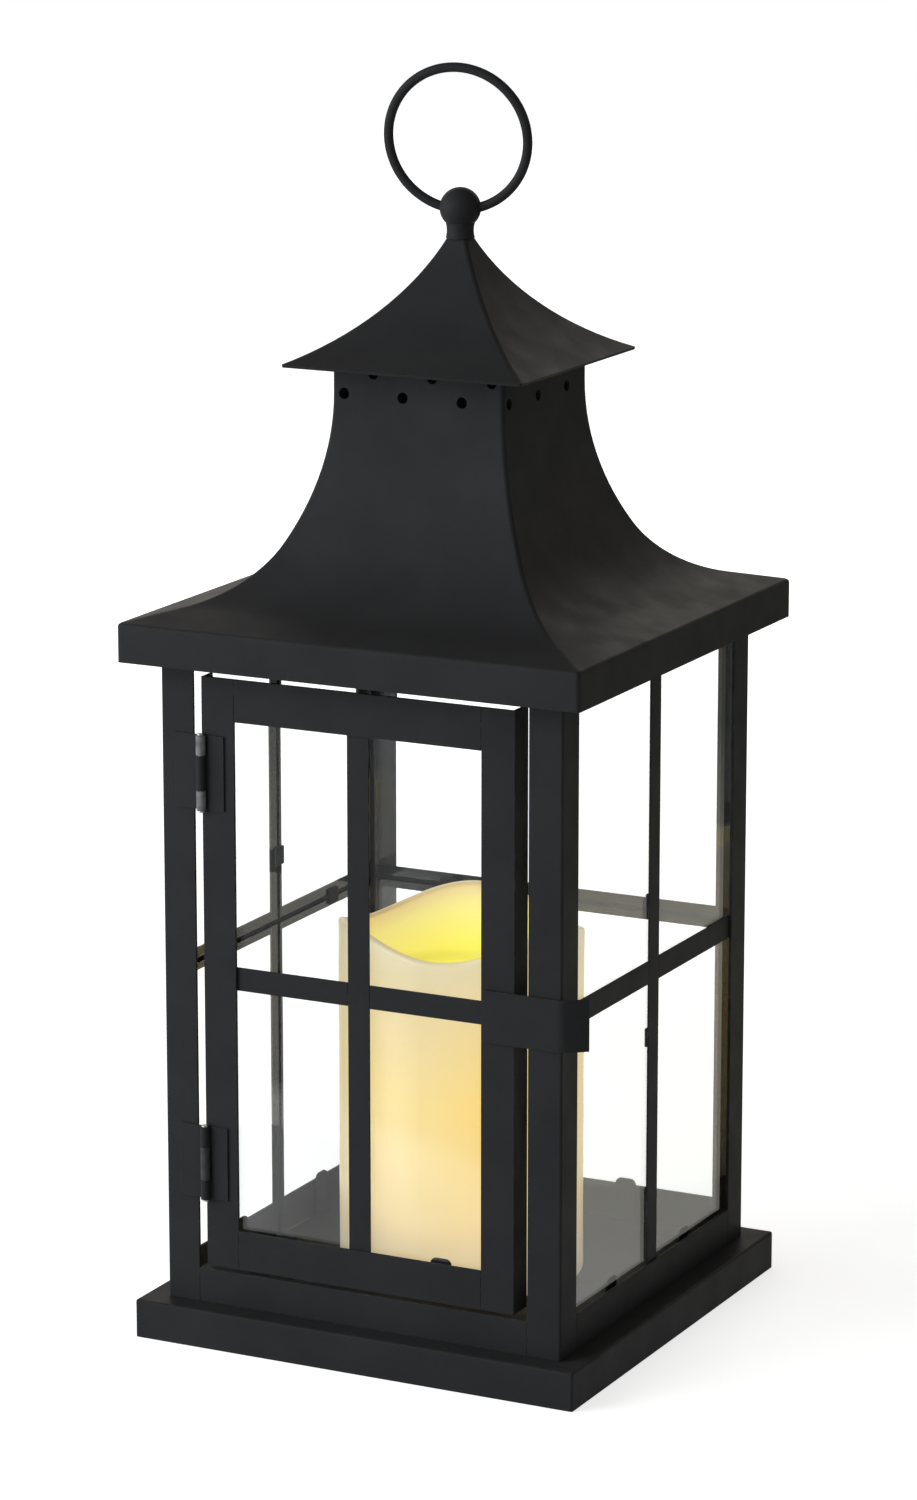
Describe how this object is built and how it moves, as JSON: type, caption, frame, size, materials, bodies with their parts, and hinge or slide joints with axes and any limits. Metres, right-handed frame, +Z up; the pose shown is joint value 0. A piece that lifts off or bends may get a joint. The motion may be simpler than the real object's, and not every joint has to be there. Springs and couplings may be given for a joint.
{
  "type": "candle lantern",
  "caption": "Square black metal candle lantern with glazed sides, hinged door with wrap-round latch, swept roof with vents, ball finial, hanging ring and a flameless candle.",
  "frame": {"origin": "middle of the underside of the base plinth, where the lantern stands", "axes": "+Z up towards the hanging ring, -Y out through the door, +X towards the latch side"},
  "size_m": [0.1592, 0.1592, 0.4044],
  "materials": {
    "black_paint": "satin powder coat",
    "clear_glass": "clear float glass",
    "bright_steel": "zinc plated",
    "ivory_wax": "smooth wax, lit from inside",
    "ivory_plastic": "moulded",
    "cell_wrap": "plain shrink wrap",
    "contact_brass": "spring brass",
    "board_green": "circuit board",
    "lamp_lens": "clear lens, lit warm",
    "switch_black": "moulded"
  },
  "bodies": {
    "lantern_frame": {"base_plinth": "black_paint", "front_sill": "black_paint", "front_right_post": "black_paint", "back_right_post": "black_paint", "back_left_post": "black_paint", "front_left_post": "black_paint", "right_foot_rail": "black_paint", "right_upright_bar": "black_paint", "right_cross_bar": "black_paint", "right_glass_panes": "clear_glass", "right_glass_clips": "black_paint", "back_foot_rail": "black_paint", "back_upright_bar": "black_paint", "back_cross_bar": "black_paint", "back_glass_panes": "clear_glass", "back_glass_clips": "black_paint", "left_foot_rail": "black_paint", "left_upright_bar": "black_paint", "left_cross_bar": "black_paint", "left_glass_panes": "clear_glass", "left_glass_clips": "black_paint", "upper_hinge_post_leaf": "black_paint", "upper_hinge_pin": "bright_steel", "lower_hinge_post_leaf": "black_paint", "lower_hinge_pin": "bright_steel", "eave_soffit": "black_paint", "roof_shell": "black_paint", "roof_cap": "black_paint", "neck_strap": "bright_steel", "finial_stud": "bright_steel", "stud_nut": "bright_steel", "finial_collar": "black_paint", "finial_ball": "black_paint"},
    "door": {"door_left_stile": "black_paint", "door_right_stile": "black_paint", "door_bottom_rail": "black_paint", "door_top_rail": "black_paint", "door_upright_bar": "black_paint", "door_cross_bar": "black_paint", "door_glass_panes": "clear_glass", "door_glass_clips": "black_paint", "door_latch": "black_paint", "upper_hinge_door_leaf": "black_paint", "lower_hinge_door_leaf": "black_paint"},
    "ring": {"hang_ring": "black_paint"},
    "candle": {"candle_shell": "ivory_wax", "candle_works": "ivory_plastic", "battery_cells": "cell_wrap", "battery_contacts": "contact_brass", "driver_board": "board_green", "lamp_holder": "ivory_plastic", "candle_lamp": "lamp_lens", "switch_housing": "ivory_plastic"},
    "candle_lid": {"battery_lid": "ivory_plastic", "lid_contact": "contact_brass"},
    "candle_switch": {"switch_slider": "switch_black"}
  },
  "joints": [
    {"name": "door_swing", "type": "hinge", "parent": "lantern_frame", "child": "door", "pos_m": [-0.05475, -0.07125, 0.121], "axis": [0, 0, -1], "range_deg": [0, 170]},
    {"name": "ring_swing", "type": "hinge", "parent": "lantern_frame", "child": "ring", "pos_m": [0, 0, 0.35874], "axis": [0.9845, 0.1754, 0], "range_deg": [-140, 128]},
    {"name": "candle_lift", "type": "slide", "parent": "lantern_frame", "child": "candle", "axis": [0, 0, 1], "range_m": [0, 0.06]},
    {"name": "lid_twist", "type": "hinge", "parent": "candle", "child": "candle_lid", "pos_m": [0, 0, 0.0138], "axis": [0, 0, 1], "range_deg": [0, 30]},
    {"name": "switch_slide", "type": "slide", "parent": "candle", "child": "candle_switch", "axis": [1, 0, 0], "range_m": [0, 0.003]}
  ]
}
